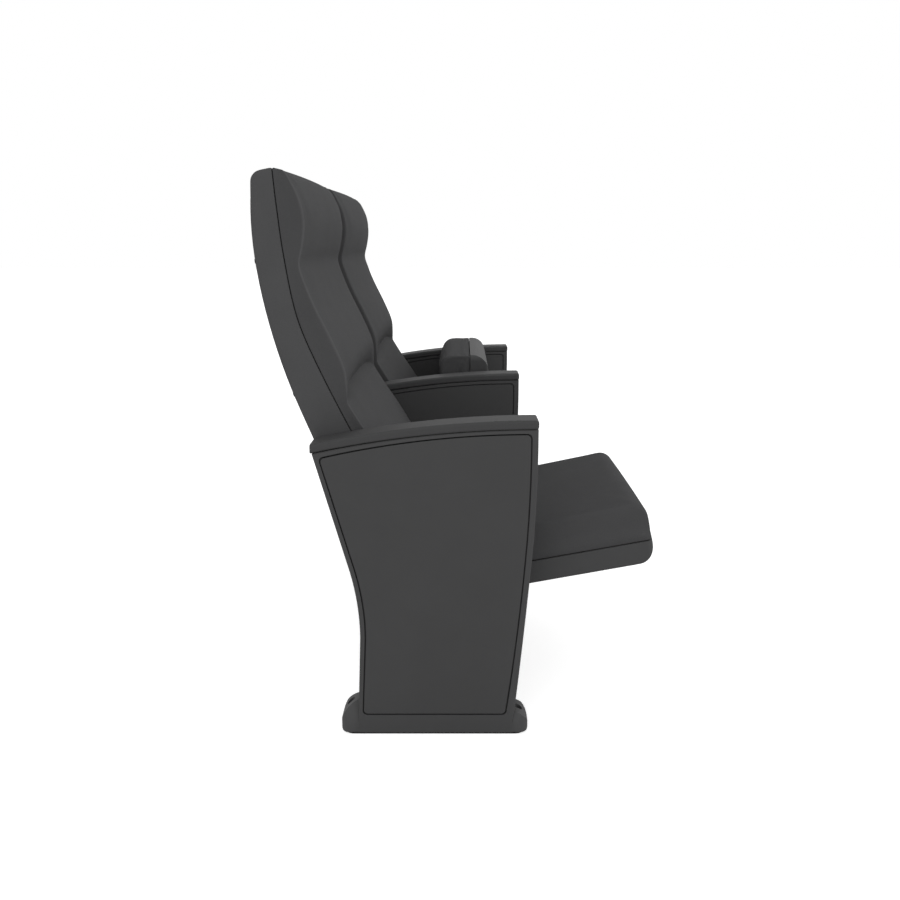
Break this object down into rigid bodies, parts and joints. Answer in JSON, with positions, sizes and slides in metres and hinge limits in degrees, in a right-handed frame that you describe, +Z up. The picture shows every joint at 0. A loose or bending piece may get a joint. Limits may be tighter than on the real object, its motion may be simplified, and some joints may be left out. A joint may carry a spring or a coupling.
{
  "type": "auditorium seat",
  "caption": "Tip up auditorium seating in a row: high contoured backs, sprung seats in moulded pans, solid side standards with slim armrests and floor feet.",
  "frame": {"origin": "on the floor, at the centre of the middle standard's foot", "axes": "+X to the front of the seats, +Y along the row to the sitter's left, +Z up"},
  "size_m": [0.747, 1.222, 1.0489],
  "materials": {
    "upholstery": "dark grey woven upholstery fabric",
    "standard_casting": "dark grey powder coat, fine texture",
    "side_panel": "dark grey moulded panel, fine grain",
    "armrest": "dark grey moulded armrest, satin",
    "seat_pan": "dark grey moulded shell, fine grain",
    "back_panel": "dark grey moulded panel, fine grain",
    "plywood": "bare plywood",
    "steel_frame": "black painted steel",
    "steel_shaft": "ground steel",
    "fastener": "blackened steel",
    "spring_steel": "oiled spring steel",
    "nylon": "natural nylon",
    "cover": "black moulded plastic",
    "rubber": "black rubber"
  },
  "bodies": {
    "row": {"armrest_screws": "fastener", "back_board_1": "plywood", "back_board_2": "plywood", "back_board_bolts_1": "fastener", "back_board_bolts_2": "fastener", "back_cushion_1": "upholstery", "back_cushion_2": "upholstery", "back_frame_1": "steel_frame", "back_frame_2": "steel_frame", "back_panel_screws_1": "fastener", "back_panel_screws_2": "fastener", "back_plate_bolts": "fastener", "back_rear_pad_1": "upholstery", "back_rear_pad_2": "upholstery", "back_rear_panel_1": "back_panel", "back_rear_panel_2": "back_panel", "left_armrest": "armrest", "left_foot_pad": "rubber", "left_pivot_shaft": "steel_shaft", "left_side_panel_left": "side_panel", "left_side_panel_right": "side_panel", "left_standard_frame": "standard_casting", "middle_armrest": "armrest", "middle_foot_pad": "rubber", "middle_pivot_shaft": "steel_shaft", "middle_side_panel_left": "side_panel", "middle_side_panel_right": "side_panel", "middle_standard_frame": "standard_casting", "pivot_covers": "cover", "pivot_nuts": "fastener", "return_springs_1": "spring_steel", "return_springs_2": "spring_steel", "right_armrest": "armrest", "right_foot_pad": "rubber", "right_pivot_shaft": "steel_shaft", "right_side_panel_left": "side_panel", "right_side_panel_right": "side_panel", "right_standard_frame": "standard_casting", "spring_washers": "fastener", "stop_levers": "steel_frame"},
    "seat_1": {"seat_pan_1": "seat_pan", "seat_cushion_1": "upholstery", "seat_board_1": "plywood", "seat_side_bars_1": "steel_frame", "seat_cross_tubes_1": "steel_frame", "seat_bushes_1": "nylon", "stop_buffers_1": "rubber", "seat_screws_1": "fastener"},
    "seat_2": {"seat_pan_2": "seat_pan", "seat_cushion_2": "upholstery", "seat_board_2": "plywood", "seat_side_bars_2": "steel_frame", "seat_cross_tubes_2": "steel_frame", "seat_bushes_2": "nylon", "stop_buffers_2": "rubber", "seat_screws_2": "fastener"}
  },
  "joints": [
    {"name": "seat_1_tip", "type": "hinge", "parent": "row", "child": "seat_1", "pos_m": [0.075, -0.29, 0.285], "axis": [0, -1, 0], "range_deg": [0, 79.5], "stiffness_Nm_per_rad": 4.54, "springref_deg": 117.34},
    {"name": "seat_2_tip", "type": "hinge", "parent": "row", "child": "seat_2", "pos_m": [0.075, 0.29, 0.285], "axis": [0, -1, 0], "range_deg": [-79.5, 0], "stiffness_Nm_per_rad": 4.54, "springref_deg": 37.87}
  ]
}
